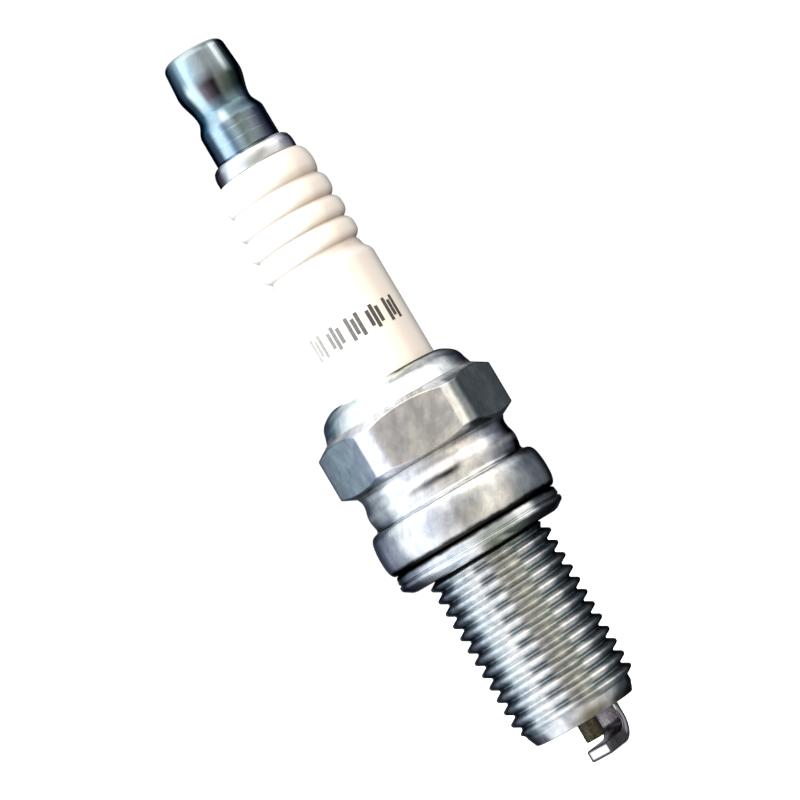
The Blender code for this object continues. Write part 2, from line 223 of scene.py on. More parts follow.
def weave_thread(bm, lower, upper, angles, tooth, radius_at, pitch, first_crest, turns):
    """A right-hand helical grid between two plain rings.

    tooth holds one pitch's points as (depth, offset), depth 0 at the root and 1 at the crest. Each
    column stands a little higher than the last, so a full turn meets the column one pitch further up.
    """
    columns = []
    for angle in angles:
        column = []
        for turn in range(turns):
            for depth, offset in tooth:
                z = first_crest + pitch * (turn + angle / 360.0) + offset
                column.append(bm.verts.new(point_at(radius_at(z, depth), angle, z)))
        columns.append(column)
    per_pitch = len(tooth)
    rows = len(columns[0])
    first, last = columns[0], columns[-1]
    for left, right in zip(columns, columns[1:]):
        for row in range(rows - 1):
            bm.faces.new((left[row], right[row], right[row + 1], left[row + 1]))
    for row in range(rows - per_pitch - 1):
        bm.faces.new((last[row], first[row + per_pitch], first[row + per_pitch + 1], last[row + 1]))
    for index in range(len(angles) - 1):
        left, right = columns[index], columns[index + 1]
        bm.faces.new((lower[index], lower[index + 1], right[0], left[0]))
        bm.faces.new((left[-1], right[-1], upper[index + 1], upper[index]))
    bm.faces.new([lower[-1], lower[0]] + first[:per_pitch + 1] + [last[0]])
    bm.faces.new([upper[0], upper[-1]] + list(reversed(last[-per_pitch - 1:])) + [first[-1]])


def thread_tooth(root_r, crest_r, pitch, crest_half, crest_fillet, root_fillet):
    """One pitch of a 60 degree thread from root to root, as (depth, offset from the crest)."""
    root_half = crest_half + (crest_r - root_r) * math.tan(math.radians(30))
    corners = [
        (root_r, -pitch / 2, 0), (root_r, -root_half, root_fillet), (crest_r, -crest_half, crest_fillet),
        (crest_r, crest_half, crest_fillet), (root_r, root_half, root_fillet), (root_r, pitch / 2, 0)]
    outline = rounded(corners, 3)[:-1]
    return [((radius - root_r) / (crest_r - root_r), offset) for radius, offset in outline]


def settle(name, bm, material, slot, body, *nodes):
    """Turn the working mesh into a piece that rides a body and stands for its CAD nodes."""
    bmesh.ops.recalc_face_normals(bm, faces=bm.faces)
    mesh = bpy.data.meshes.new(name)
    bm.to_mesh(mesh)
    bm.free()
    mesh.materials.append(material)
    mesh.shade_smooth()
    mesh.set_sharp_from_angle(angle=math.radians(48))
    piece = bpy.data.objects.new(name, mesh)
    bpy.context.scene.collection.objects.link(piece)
    weighted = piece.modifiers.new("even_shading", "WEIGHTED_NORMAL")
    weighted.keep_sharp = True
    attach(piece, body)
    if nodes:
        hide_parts(*nodes)
    return piece


def turn_piece(name, outline, columns, *finish, has_hole=False):
    """A turned piece from its outline, which runs back to its start where the piece has a hole."""
    bm = bmesh.new()
    rings = rings_of(bm, outline, even_angles(columns))
    bridge_all(bm, rings + rings[:1] if has_hole else rings)
    return settle(name, bm, *finish)


# ---------------------------------------------------------------- node helpers

def add(tree, kind, inputs=None, **settings):
    """A node with its settings, and its inputs as values or as links from other nodes' sockets."""
    made = tree.nodes.new(kind)
    for name, value in settings.items():
        setattr(made, name, value)
    for name, value in (inputs or {}).items():
        if isinstance(value, bpy.types.NodeSocket):
            tree.links.new(value, made.inputs[name])
        else:
            made.inputs[name].default_value = value
    return made


def ramp(tree, factor, stops):
    """A colour ramp that eases through (position, colour) stops."""
    made = add(tree, "ShaderNodeValToRGB", {"Fac": factor})
    made.color_ramp.interpolation = "EASE"
    elements = made.color_ramp.elements
    elements.remove(elements[1])
    for index, (position, colour) in enumerate(stops):
        element = elements[0] if index == 0 else elements.new(position)
        element.position = position
        element.color = (*colour, 1.0)
    return made.outputs["Color"]


def grey(tree, factor, low, high, start=0.0, end=1.0):
    """A number from low to high as the factor goes from start to end."""
    made = add(tree, "ShaderNodeMapRange", {
        "Value": factor, "From Min": start, "From Max": end, "To Min": low, "To Max": high})
    return made.outputs["Result"]


def place(tree, scale=(1, 1, 1), turn=(0, 0, 0)):
    """Object coordinates in millimetres, turned and then stretched."""
    source = add(tree, "ShaderNodeTexCoord")
    mapping = add(tree, "ShaderNodeMapping", {
        "Vector": source.outputs["Object"],
        "Rotation": tuple(math.radians(angle) for angle in turn),
        "Scale": tuple(MM / value for value in scale)}, vector_type="TEXTURE")
    return mapping.outputs["Vector"]


def height_in(tree):
    """Height on the plug's axis, in millimetres."""
    source = add(tree, "ShaderNodeTexCoord")
    parts = add(tree, "ShaderNodeSeparateXYZ", {"Vector": source.outputs["Object"]})
    return multiply(tree, parts.outputs["Z"], 1.0 / MM)


def azimuth_in(tree, coordinates):
    """Direction round the axis as 0 to 1: 0.5 in front (-Y), 0.75 at the right (+X), 0.25 at the left."""
    parts = add(tree, "ShaderNodeSeparateXYZ", {"Vector": coordinates})
    forward = multiply(tree, parts.outputs["Y"], -1.0)
    turn = add(tree, "ShaderNodeMath", {0: parts.outputs["X"], 1: forward}, operation="ARCTAN2")
    return grey(tree, turn.outputs[0], 0.0, 1.0, -math.pi, math.pi)


def radius_in(tree):
    """Distance from the plug's axis, in millimetres."""
    source = add(tree, "ShaderNodeTexCoord")
    flat = add(tree, "ShaderNodeVectorMath", {
        0: source.outputs["Object"], 1: (1.0, 1.0, 0.0)}, operation="MULTIPLY")
    length = add(tree, "ShaderNodeVectorMath", {0: flat.outputs[0]}, operation="LENGTH")
    return multiply(tree, length.outputs["Value"], 1.0 / MM)


def distance_in(tree, direction):
    """Distance from the origin along a direction, in millimetres."""
    source = add(tree, "ShaderNodeTexCoord")
    reach = add(tree, "ShaderNodeVectorMath", {
        0: source.outputs["Object"], 1: direction}, operation="DOT_PRODUCT")
    return multiply(tree, reach.outputs["Value"], 1.0 / MM)


def size_of(tree, value):
    """A number without its sign."""
    return add(tree, "ShaderNodeMath", {0: value}, operation="ABSOLUTE").outputs[0]


def zoned(tree, turn, rise, zones, behind=()):
    """Colours by direction and height: zones are (height, stops), stops (azimuth, red, green, blue).

    Azimuths are in degrees and colours in percent. Stops from -180 on run all the way round. Others
    cover the front, and those in `behind` the rest.
    """
    colour = None
    below = None
    for level, stops in zones:
        around = stops if stops[0][0] == -180 else (*behind[:2], *stops, *behind[2:])
        closed = (*around, (180, *around[0][1:]))
        band = ramp(tree, turn, [
            ((angle + 180) / 360, [part / 100 for part in tone]) for angle, *tone in closed])
        if colour is None:
            colour = band
        else:
            colour = blend_colours(tree, grey(tree, rise, 0.0, 1.0, below, level), colour, band)
        below = level
    return colour


def noise(tree, vector, scale, detail=3.0, roughness=0.5):
    """Noise of a scale in cells per millimetre."""
    made = add(tree, "ShaderNodeTexNoise", {
        "Vector": vector, "Scale": scale, "Detail": detail, "Roughness": roughness})
    return made.outputs["Fac"]


def multiply(tree, first, second):
    """The product of two numbers."""
    return add(tree, "ShaderNodeMath", {0: first, 1: second}, operation="MULTIPLY").outputs[0]


def plus(tree, first, second):
    """The sum of two numbers."""
    return add(tree, "ShaderNodeMath", {0: first, 1: second}, operation="ADD").outputs[0]


def blend_colours(tree, factor, first, second, how="MIX"):
    """Mix two colours by a factor, each given as numbers or as a node's output."""
    # Sockets 0, 6 and 7 are the factor and the two colours, and output 2 is the mixed colour.
    first, second = ((*colour, 1.0) if isinstance(colour, tuple) else colour for colour in (first, second))
    mixed = add(tree, "ShaderNodeMix", {0: factor, 6: first, 7: second}, data_type="RGBA", blend_type=how)
    return mixed.outputs[2]


def tinted(tree, first, second):
    """Two colours multiplied together."""
    return blend_colours(tree, 1.0, first, second, "MULTIPLY")


def relief(tree, height, depth, normal=None):
    """A bump of a depth in millimetres, on top of another if one is given."""
    inputs = {"Height": height, "Distance": depth * MM, "Strength": 1.0}
    if normal is not None:
        inputs["Normal"] = normal
    return add(tree, "ShaderNodeBump", inputs).outputs["Normal"]


def surface(name):
    """A new material with its node tree and its Principled shader."""
    material = bpy.data.materials.new(name)
    material.use_nodes = True
    tree = material.node_tree
    return material, tree, tree.nodes["Principled BSDF"]


def wire(tree, shader, **inputs):
    """Set or link the shader's own inputs, with _ for a space in a name."""
    for name, value in inputs.items():
        socket = shader.inputs[name.replace("_", " ")]
        if isinstance(value, bpy.types.NodeSocket):
            tree.links.new(value, socket)
        else:
            socket.default_value = value


# ---------------------------------------------------------------- materials

# The plain tone of the metal's sides and back, before and after the stops that cover its front with painted
# reflections and shade.
PLAIN_SIDES = ((-180, 85, 85, 86), (-97, 80, 81, 83), (97, 80, 80, 81))


def tone_on(tree, zones):
    """The zones' colours on a piece, by direction and height, with edges that wander a little."""
    wander_of_turn = 0.0015
    wander_of_height = 0.08
    source = add(tree, "ShaderNodeTexCoord")
    wander = grey(tree, noise(tree, place(tree), 0.7, 2.0), -1.0, 1.0, 0.3, 0.7)
    turn = plus(
        tree, azimuth_in(tree, source.outputs["Object"]), multiply(tree, wander, wander_of_turn))
    rise = plus(tree, height_in(tree), multiply(tree, wander, wander_of_height))
    return zoned(tree, turn, rise, zones, PLAIN_SIDES)


def even(value):
    """Stops of one grey all the way round."""
    return ((-180, value, value, value),)


def plated_metal(name, light, dark, smooth, rough, streaks, turned, scratches, tone, blur=None):
    """Plated steel with cloudy plating, drawn streaks, fine turned lines and a few scratches, under a tone
    of film and painted reflections and shade.
    """
    material, tree, shader = surface(name)
    clouds = noise(tree, place(tree), 0.8, 4.0, 0.6)
    grain = noise(tree, place(tree, (1, 1, 0.22)), 2.6, 3.0, 0.6)
    handled = noise(tree, place(tree, (1, 1, 0.28), (0, 32, 0)), 1.6, 3.0, 0.6)
    lines = noise(tree, place(tree, (0.03, 0.03, 1)), 9.0, 2.0)
    marks = noise(tree, place(tree, (0.5, 0.5, 0.05), (0, 34, 0)), 5.0, 1.0)
    thin_marks = grey(tree, marks, 0.0, 1.0, 0.68, 0.74)
    mottle = plus(tree, multiply(tree, clouds, 0.6), multiply(tree, handled, 0.4))
    colour = blend_colours(tree, grey(tree, mottle, 0.0, 1.0, 0.4, 0.6), dark, light)
    # The tone paints reflections, highlights and shade into the base colour, over some film.
    film_and_painted_light = tone(tree)
    bright_edges = 0.22              # how far the film and painted light fade where the surface turns away
    rub = plus(tree, multiply(tree, grain, 0.6), multiply(tree, clouds, 0.4))
    roughness = grey(tree, rub, smooth, rough, 0.35, 0.65)
    wire(
        tree, shader, Metallic=1.0,
        Base_Color=tinted(tree, colour, film_and_painted_light),
        Specular_Tint=blend_colours(tree, bright_edges, film_and_painted_light, (0.9, 0.95, 1.0)),
        Roughness=roughness if blur is None else plus(tree, roughness, blur(tree)),
        Normal=relief(
            tree, thin_marks, -scratches,
            relief(tree, lines, turned, relief(tree, mottle, streaks))))
    return material


def shell_tone(tree):
    """Painted reflections and shade over an oily film: light and dark bands round the front, the thread's
    roots banded apart from its crests, painted shadow at the neck, along the seat and under the hexagon,
    painted highlights on the hexagon's corners and painted shade on its right-hand faces.
    """
    nose = (
        (-72, 12, 13, 16), (-54, 36, 36, 42), (-43, 100, 100, 100), (-25, 100, 100, 100), (-13, 42, 40, 40),
        (6, 30, 28, 19), (17, 34, 32, 26), (27, 55, 52, 52), (40, 13, 14, 13), (66, 3, 4, 4))
    crests = (
        (-72, 8, 9, 11), (-58, 30, 35, 40), (-45, 78, 86, 92), (-38, 90, 94, 96), (-26, 100, 100, 100),
        (-9, 100, 100, 100), (-1, 54, 53, 50), (6, 48, 47, 44), (13, 56, 56, 52), (19, 54, 56, 53),
        (25, 100, 100, 100), (35, 100, 100, 100), (45, 34, 38, 42), (57, 20, 23, 25), (74, 3, 4, 5))
    roots = (
        (-72, 5, 6, 8), (-58, 26, 31, 36), (-46, 94, 99, 100), (-27, 100, 100, 100), (-18, 40, 45, 48),
        (-9, 38, 41, 43), (-1, 76, 76, 73), (6, 78, 77, 73), (13, 92, 92, 86), (19, 76, 79, 75),
        (25, 38, 43, 43), (38, 34, 40, 43), (57, 17, 21, 23), (74, 2, 3, 4))
    neck = (
        (-66, 5, 5, 7), (-46, 20, 22, 27), (-34, 55, 60, 66), (-16, 50, 53, 56), (0, 34, 37, 31),
        (22, 26, 30, 26), (46, 7, 8, 9), (66, 3, 3, 4))
    shoulder = (
        (-76, 20, 21, 24), (-58, 48, 50, 54), (-44, 95, 96, 100), (30, 100, 100, 98), (42, 60, 61, 62),
        (56, 16, 17, 18), (75, 4, 4, 5))
    flange = (
        (-76, 30, 31, 36), (-64, 75, 76, 86), (-50, 98, 98, 100), (-30, 88, 89, 94), (-17.5, 68, 68, 71),
        (-9, 85, 84, 84), (-3.5, 56, 56, 56), (3, 78, 78, 75), (11, 100, 99, 93), (19, 100, 98, 93),
        (26, 72, 71, 69), (33, 50, 51, 52), (41, 56, 59, 62), (52, 52, 56, 58), (65, 70, 74, 80),
        (78, 20, 20, 22))
    dash = (
        (-34, 100, 100, 100), (-22, 46, 45, 46), (-8, 20, 19, 19), (5, 5, 5, 5), (9, 22, 21, 20),
        (15, 100, 95, 92))
    bulge = (
        (-76, 40, 43, 45), (-60, 100, 100, 100), (-36, 95, 97, 100), (-20, 86, 87, 90), (8, 100, 96, 92),
        (16, 100, 94, 90), (28, 82, 79, 77), (38, 80, 80, 84), (52, 56, 57, 64), (75, 6, 6, 8))
    hexagon = (
        (-91, 80, 82, 84), (-89, 46, 50, 54), (-60, 68, 82, 84), (-36, 86, 92, 100), (-32, 100, 97, 100),
        (-23, 92, 90, 93), (-18, 80, 77, 76), (8, 82, 79, 74), (17, 90, 86, 81), (23, 100, 98, 95),
        (28, 100, 100, 95), (30.5, 30, 33, 34), (60, 40, 44, 45), (89, 34, 36, 37), (91, 80, 80, 81))
    lip = (
        (-76, 35, 42, 48), (-58, 75, 88, 95), (-44, 95, 100, 100), (34, 92, 95, 93), (48, 100, 100, 100),
        (58, 60, 66, 70), (75, 28, 31, 33))
    rim = (
        (-64, 40, 46, 50), (-35, 100, 100, 100), (-4, 95, 95, 93), (14, 20, 20, 19), (60, 10, 10, 10),
        (76, 5, 5, 5))
    # The bands paint reflections and highlights; the dark bands at the neck, the seat and under the hexagon
    # are painted shadow.
    # Heights follow the shell's outline from the nose up.
    tone = tone_on(tree, (
        (0.03 - REACH, even(60)), (0.12 - REACH, nose), (0.4 - REACH, nose), (1.1 - REACH, crests),
        (-2.7, crests), (-2.1, neck), (THREAD_TOP, even(5)), (0.12, even(3)), (0.34, even(5)),
        (0.58, flange), (3.3, flange), (3.9, shoulder), (4.4, shoulder), (4.7, bulge), (5.05, bulge),
        (5.42, dash), (5.56, dash), (5.92, bulge), (7.1, bulge), (HEX_BOTTOM + 0.05, even(50)),
        (HEX_BOTTOM + 0.4, hexagon), (HEX_TOP - 0.5, hexagon), (HEX_TOP - 0.2, even(100)),
        (HEX_TOP + 0.1, even(100)), (HEX_TOP + 0.4, lip), (HEX_TOP + 2.1, lip), (HEX_TOP + 2.25, rim)))
    # The thread's roots get bands of their own, of painted reflection and shade.
    threaded = grey(tree, height_in(tree), 1.0, 0.0, -2.7, -2.1)
    turned_down = grey(tree, height_in(tree), 0.0, 1.0, -18.4, -17.5)
    depth = grey(tree, radius_in(tree), 1.0, 0.0, ROOT_R + 0.1, CREST_R - 0.28)
    in_roots = multiply(tree, multiply(tree, depth, threaded), turned_down)
    return blend_colours(tree, in_roots, tone, tone_on(tree, ((0.0, roots),)))


def shell_blur(tree):
    """The rolled thread is less polished than the turned faces above it."""
    return grey(tree, height_in(tree), 0.27, 0.0, -2.3, -1.0)


def gasket_tone(tree):
    """Painted reflections round both lobes, dark at the ends, and a painted shadow along the top edge where
    the ring meets the flange.
    """
    lower = (
        (-76, 8, 9, 11), (-58, 36, 37, 42), (-26, 90, 94, 96), (-6, 100, 100, 98), (6, 40, 45, 38),
        (24, 26, 31, 27), (38, 12, 13, 13), (72, 14, 14, 15))
    upper = (
        (-76, 16, 17, 20), (-60, 50, 50, 58), (-46, 76, 77, 82), (-28, 78, 82, 85), (-10, 98, 100, 100),
        (2, 64, 68, 64), (22, 50, 53, 52), (29, 100, 100, 100), (38, 100, 100, 100), (46, 23, 24, 26),
        (56, 26, 26, 28), (72, 34, 34, 35))
    return tone_on(tree, (
        (-2.05, lower), (-1.4, lower), (-1.1, upper), (-0.45, upper), (-0.22, even(4))))


def terminal_tone(tree):
    """Painted reflections round the terminal: dark at the sides and in the hollow, with painted highlights
    between.
    """
    skirt = (
        (-76, 5, 7, 9), (-50, 16, 22, 29), (-37, 72, 86, 100), (-28, 72, 86, 100), (-17, 24, 31, 38),
        (-4, 62, 70, 74), (8, 38, 44, 41), (22, 28, 30, 33), (40, 16, 16, 22), (60, 7, 7, 10))
    neck = (
        (-76, 6, 10, 13), (-52, 10, 20, 28), (-38, 50, 66, 76), (-26, 54, 70, 80), (-16, 30, 42, 48),
        (2, 22, 30, 35), (28, 20, 28, 31), (44, 24, 28, 32), (62, 10, 11, 13))
    glint = (
        (-76, 2, 5, 8), (-52, 8, 18, 26), (-34, 56, 70, 78), (-20, 62, 70, 76), (-12, 100, 100, 100),
        (-7, 80, 80, 80), (3, 22, 29, 32), (36, 18, 24, 28), (60, 6, 7, 9))
    hollow = (
        (-76, 3, 4, 5), (-54, 12, 16, 19), (-42, 92, 100, 100), (-30, 92, 100, 100), (-18, 24, 19, 23),
        (-6, 13, 9, 11), (4, 4, 3, 4), (14, 20, 20, 18), (26, 13, 15, 13), (42, 7, 10, 9), (58, 2, 3, 3))
    head = (
        (-76, 10, 13, 17), (-48, 24, 33, 38), (-40, 34, 45, 52), (-33, 80, 94, 100), (-25, 80, 94, 100),
        (-12, 70, 76, 76), (0, 66, 66, 68), (12, 50, 50, 52), (22, 32, 33, 35), (29, 40, 42, 43),
        (34, 100, 100, 100), (44, 100, 100, 100), (51, 12, 14, 16), (66, 5, 6, 7))
    return tone_on(tree, (
        (41.5, skirt), (42.3, glint), (42.7, glint), (43.2, neck), (43.5, neck), (44.4, hollow),
        (45.6, hollow), (46.8, head), (48.7, head), (49.05, even(80))))


def stud_tone(tree):
    """Painted reflections round the collar: dark at both ends and bright between."""
    collar = (
        (-80, 10, 9, 9), (-62, 22, 20, 22), (-50, 80, 84, 92), (-30, 92, 94, 96), (0, 84, 85, 80),
        (20, 68, 67, 70), (44, 95, 92, 100), (58, 80, 78, 86), (76, 20, 19, 21))
    return tone_on(tree, ((0.0, collar),))


def ceramic_glaze():
    """White glazed alumina: warm, glossy, with a faint unevenness and a few grey specks, and painted shade
    on its right side and in the rib creases.
    """
    material, tree, shader = surface("alumina_glaze")
    clouds = noise(tree, place(tree), 0.35, 3.0)
    specks = grey(tree, noise(tree, place(tree), 3.3, 1.0), 0.0, 1.0, 0.76, 0.82)
    # Painted shade: the right side darker and warmer, lighter again towards the back.
    shaded_side = (
        (-180, 96, 95, 93), (-20, 97, 97, 95), (4, 96, 95, 90), (17, 91, 85, 76), (30, 89, 81, 71),
        (44, 79, 70, 63), (60, 78, 72, 66), (76, 66, 62, 59), (84, 56, 54, 53), (110, 88, 85, 81))
    side_shade = tone_on(tree, ((0.0, shaded_side),))
    tone = tinted(tree, side_shade, blend_colours(tree, clouds, (0.96, 0.94, 0.92), (1.0, 1.0, 1.0)))
    # Painted shade in the rib creases.
    ribbed = grey(tree, height_in(tree), 0.0, 1.0, RIB_GROOVES[3] - 1.2, RIB_GROOVES[3] - 0.6)
    below_ribs = grey(tree, height_in(tree), 1.0, 0.0, RIB_GROOVES[0] + 0.6, RIB_GROOVES[0] + 1.0)
    deep = grey(tree, radius_in(tree), 1.0, 0.0, GROOVE_R + 0.05, GROOVE_R + 0.5)
    crease_shade = multiply(tree, deep, multiply(tree, ribbed, below_ribs))
    tone = tinted(tree, tone, blend_colours(tree, crease_shade, (1.0, 1.0, 1.0), (0.66, 0.61, 0.58)))
    ripple = noise(tree, place(tree, (1, 1, 0.6)), 0.5, 2.0)
    wire(
        tree, shader,
        Base_Color=blend_colours(tree, specks, tone, (0.80, 0.76, 0.70)),
        Roughness=grey(tree, clouds, 0.22, 0.36),
        Coat_Weight=0.25, Coat_Roughness=0.1, IOR=1.45,
        Normal=relief(tree, ripple, 0.02))
    return material


def print_ink():
    """Grey printed marks, thin, lighter and rougher in patches and towards -X."""
    material, tree, shader = surface("print_ink")
    source = add(tree, "ShaderNodeTexCoord")
    parts = add(tree, "ShaderNodeSeparateXYZ", {"Vector": source.outputs["Object"]})
    side = grey(tree, parts.outputs["X"], 0.9, 0.0, -4.5 * MM, 2.0 * MM)
    lightening = plus(tree, multiply(tree, side, 0.75), multiply(tree, noise(tree, place(tree), 4.0), 0.35))
    fading = ((0.15, (0.05, 0.045, 0.04)), (0.55, (0.20, 0.19, 0.18)), (0.95, (0.50, 0.48, 0.45)))
    wire(tree, shader, Base_Color=ramp(tree, lightening, fading), Roughness=grey(tree, lightening, 0.35, 0.6))
    return material


def strap_bend_highlight(tree):
    """A painted highlight round the strap's bend, on its cut edges."""
    bend_z = strap_bottom + STRAP_THICKNESS / 2 + STRAP_BEND_R
    outward = plus(tree, distance_in(tree, STRAP_OUT), STRAP_BEND_R - STRAP_LEG_R)
    upward = plus(tree, height_in(tree), -bend_z)
    bend = add(tree, "ShaderNodeCombineXYZ", {"X": outward, "Y": upward})
    from_centre = add(tree, "ShaderNodeVectorMath", {0: bend.outputs[0]}, operation="LENGTH")
    off_line = size_of(tree, plus(tree, from_centre.outputs["Value"], 0.1 - STRAP_BEND_R))
    strip = grey(tree, off_line, 1.0, 0.0, 0.12, 0.26)
    across = size_of(tree, distance_in(tree, STRAP_ACROSS))
    cut_edge = grey(tree, across, 0.0, 1.0, STRAP_WIDTH / 2 - 0.08, STRAP_WIDTH / 2 - 0.03)
    turning = grey(tree, outward, 0.0, 1.0, 0.4, 0.9)
    return multiply(tree, multiply(tree, strip, cut_edge), turning)


def strap_end(tree, bare):
    """The strap's end face, light in the middle with a dark border all round, and the painted highlight
    round the bend.
    """
    arm_z = strap_bottom + STRAP_THICKNESS / 2
    half_width = STRAP_WIDTH / 2
    half_thickness = STRAP_THICKNESS / 2
    outward = distance_in(tree, STRAP_OUT)
    across = size_of(tree, distance_in(tree, STRAP_ACROSS))
    upward = size_of(tree, plus(tree, height_in(tree), -arm_z))
    end_face = grey(tree, outward, 0.0, 1.0, 0.05 - STRAP_PAST_AXIS, 0.02 - STRAP_PAST_AXIS)
    middle = multiply(
        tree, grey(tree, across, 0.0, 1.0, half_width - 0.16, half_width - 0.32),
        grey(tree, upward, 0.0, 1.0, half_thickness - 0.16, half_thickness - 0.3))
    dark_border = blend_colours(tree, end_face, bare, (0.05, 0.05, 0.055))
    highlighted = blend_colours(tree, strap_bend_highlight(tree), dark_border, (0.95, 0.95, 0.96))
    return blend_colours(tree, multiply(tree, end_face, middle), highlighted, (0.80, 0.80, 0.81))


def oxidised_nickel(name, light, dark, rough, tint, finish=None):
    """Nickel alloy, brushed and tarnished, with a heat tint in patches."""
    material, tree, shader = surface(name)
    clouds = noise(tree, place(tree), 1.1, 5.0, 0.65)
    grain = noise(tree, place(tree, (1, 1, 0.3)), 7.0, 3.0, 0.6)
    metal = blend_colours(tree, grey(tree, grain, 0.0, 1.0, 0.3, 0.7), dark, light)
    colour = blend_colours(tree, grey(tree, clouds, 0.0, 0.85, 0.42, 0.68), metal, tint)
    wire(
        tree, shader, Metallic=1.0,
        Base_Color=colour if finish is None else finish(tree, colour),
        Roughness=grey(tree, clouds, rough - 0.1, rough + 0.12, 0.3, 0.7),
        Normal=relief(tree, grain, 0.012))
    return material


def granular(name, light, dark, cell, rough, depth, metallic=0.0):
    """Pressed or fused grains of two tones."""
    material, tree, shader = surface(name)
    grains = noise(tree, place(tree), cell, 4.0, 0.65)
    wire(
        tree, shader, Metallic=metallic,
        Base_Color=blend_colours(tree, grey(tree, grains, 0.0, 1.0, 0.35, 0.65), dark, light),
        Roughness=grey(tree, grains, rough - 0.08, rough + 0.08, 0.3, 0.7),
        Normal=relief(tree, grains, depth))
    return material


shell_plate = plated_metal(
    "shell_plate", light=(0.85, 0.84, 0.82), dark=(0.57, 0.58, 0.60), smooth=0.09, rough=0.20,
    streaks=0.008, turned=0.0006, scratches=0.006, tone=shell_tone, blur=shell_blur)
gasket_plate = plated_metal(
    "gasket_plate", light=(0.84, 0.85, 0.86), dark=(0.66, 0.67, 0.68), smooth=0.10, rough=0.22,
    streaks=0.006, turned=0.001, scratches=0.004, tone=gasket_tone)
terminal_plate = plated_metal(
    "terminal_plate", light=(0.60, 0.67, 0.70), dark=(0.50, 0.58, 0.62), smooth=0.07, rough=0.15,
    streaks=0.003, turned=0.0012, scratches=0.002, tone=terminal_tone)
stud_steel = plated_metal(
    "stud_steel", light=(0.82, 0.82, 0.81), dark=(0.70, 0.70, 0.70), smooth=0.10, rough=0.22,
    streaks=0.003, turned=0.0012, scratches=0.003, tone=stud_tone)
glaze = ceramic_glaze()
ink = print_ink()
tip_nickel = oxidised_nickel(
    "tip_nickel", light=(0.11, 0.10, 0.065), dark=(0.015, 0.013, 0.008), rough=0.40,
    tint=(0.05, 0.03, 0.02))
strap_nickel = oxidised_nickel(
    "strap_nickel", light=(0.24, 0.22, 0.23), dark=(0.11, 0.09, 0.10), rough=0.26,
    tint=(0.08, 0.055, 0.075), finish=strap_end)
weld_nickel = oxidised_nickel(
    "weld_nickel", light=(0.55, 0.54, 0.52), dark=(0.35, 0.34, 0.34), rough=0.36,
    tint=(0.30, 0.26, 0.24))


# ---------------------------------------------------------------- shell

def shell_angles():
    """Columns round the shell, close together at the hexagon's corners."""
    corner_half = 7.0
    corner_steps = 12
    flat_steps = 22
    angles = []
    for corner in range(6):
        for step in range(corner_steps):
            angles.append(60.0 * corner + corner_half * (2 * step / corner_steps - 1))
        for step in range(flat_steps):
            angles.append(60.0 * corner + corner_half + (60.0 - 2 * corner_half) * step / flat_steps)
    return angles


def hex_radius(angle):
    """The hexagon's outline: flats that face +Y and -Y, and corners turned to a round."""
    from_flat = math.radians(angle % 60.0 - 30.0)
    return soft_min(HEX_FLAT_R / math.cos(from_flat), HEX_CORNER_R, 0.12)


def shell_upper_outline(angle):
    """From inside the crimped lip, over the hexagon, barrel and flange, to the neck."""
    radius = hex_radius(angle)
    lip = flowing([
        (5.14, 14.9), (5.15, 15.2), (5.28, 15.37), (5.5, 15.36), (5.9, 15.18), (6.35, 14.9),
        (6.73, 14.56), (6.97, 14.15), (7.1, 13.7), (7.2, 13.4)])
    hexagon = rounded([
        (7.22, 13.35, 0), (7.34, HEX_TOP, 0.12), (radius, HEX_TOP - (radius - 7.32) * 0.62, 0.2),
        (radius, HEX_BOTTOM + (radius - 7.45) * 0.5, 0.2), (7.45, HEX_BOTTOM, 0.05), (7.41, 7.48, 0)])
    barrel = flowing([
        (7.39, 7.42), (7.28, 7.2), (7.23, 6.85), (7.27, 6.45), (7.38, 6.05), (7.46, 5.65), (7.46, 5.25),
        (7.4, 4.8), (7.34, 4.5)])
    flange = flowing([
        (7.33, 4.4), (7.38, 4.22), (7.55, 4.1), (7.8, 4.03), (8.08, 3.83), (8.28, 3.45), (8.39, 2.9),
        (8.46, 2.2), (8.46, 1.4), (8.4, 0.8), (8.27, 0.35), (8.05, 0.07), (7.8, 0.0)])
    neck = rounded([(7.6, 0.0, 0), (NECK_R + 0.02, 0.0, 0.2), (NECK_R, -0.6, 0), (NECK_R, -1.2, 0)])
    return lip + hexagon + barrel + flange + neck


def shell_lower_outline(angle):
    """From the end of the thread round the nose and up through the stepped bore to the lip."""
    nose = rounded([
        (5.08, -18.45, 0), (4.88, -18.92, 0.15), (4.76, -REACH, 0.08), (3.9, -REACH, 0.05),
        (3.75, -18.85, 0.05), (3.75, -6.8, 0)])
    bore = rounded([
        (3.4, -6.3, 0), (3.4, -4.9, 0), (4.1, -4.3, 0), (4.1, 1.4, 0), (6.2, 3.0, 0), (6.2, 13.9, 0),
        (6.05, 14.4, 0), (5.6, 14.8, 0)])
    return nose + bore


def shell_thread_radius(z, depth):
    """Radius of the thread's surface, which fades into plain rounds at both ends."""
    top = (THREAD_TOP - z) / (THREAD_TOP - THREAD_FULL_TOP)
    bottom = (z - THREAD_BOTTOM) / (THREAD_FULL_BOTTOM - THREAD_BOTTOM)
    root = ROOT_R - max(0.0, -18.1 - z) * 0.45
    return root + (CREST_R - ROOT_R) * depth * ease(0.0, 1.0, min(top, bottom))


def make_shell():
    """Steel shell: crimped lip, hexagon, barrel, flange, rolled thread, nose and bore."""
    bm = bmesh.new()
    angles = shell_angles()
    upper = rings_of(bm, shell_upper_outline, angles)
    lower = rings_of(bm, shell_lower_outline, angles)
    bridge_all(bm, upper)
    bridge_all(bm, lower)
    bridge(bm, lower[-1], upper[0])
    tooth = thread_tooth(ROOT_R, CREST_R, PITCH, crest_half=0.14, crest_fillet=0.42, root_fillet=0.4)
    weave_thread(
        bm, lower[0], upper[-1], angles, tooth, shell_thread_radius, PITCH,
        CREST_AT_ANGLE_0 - PITCH, turns=13)
    return settle("shell_body", bm, shell_plate, "shell_plate", BODY, "shell")


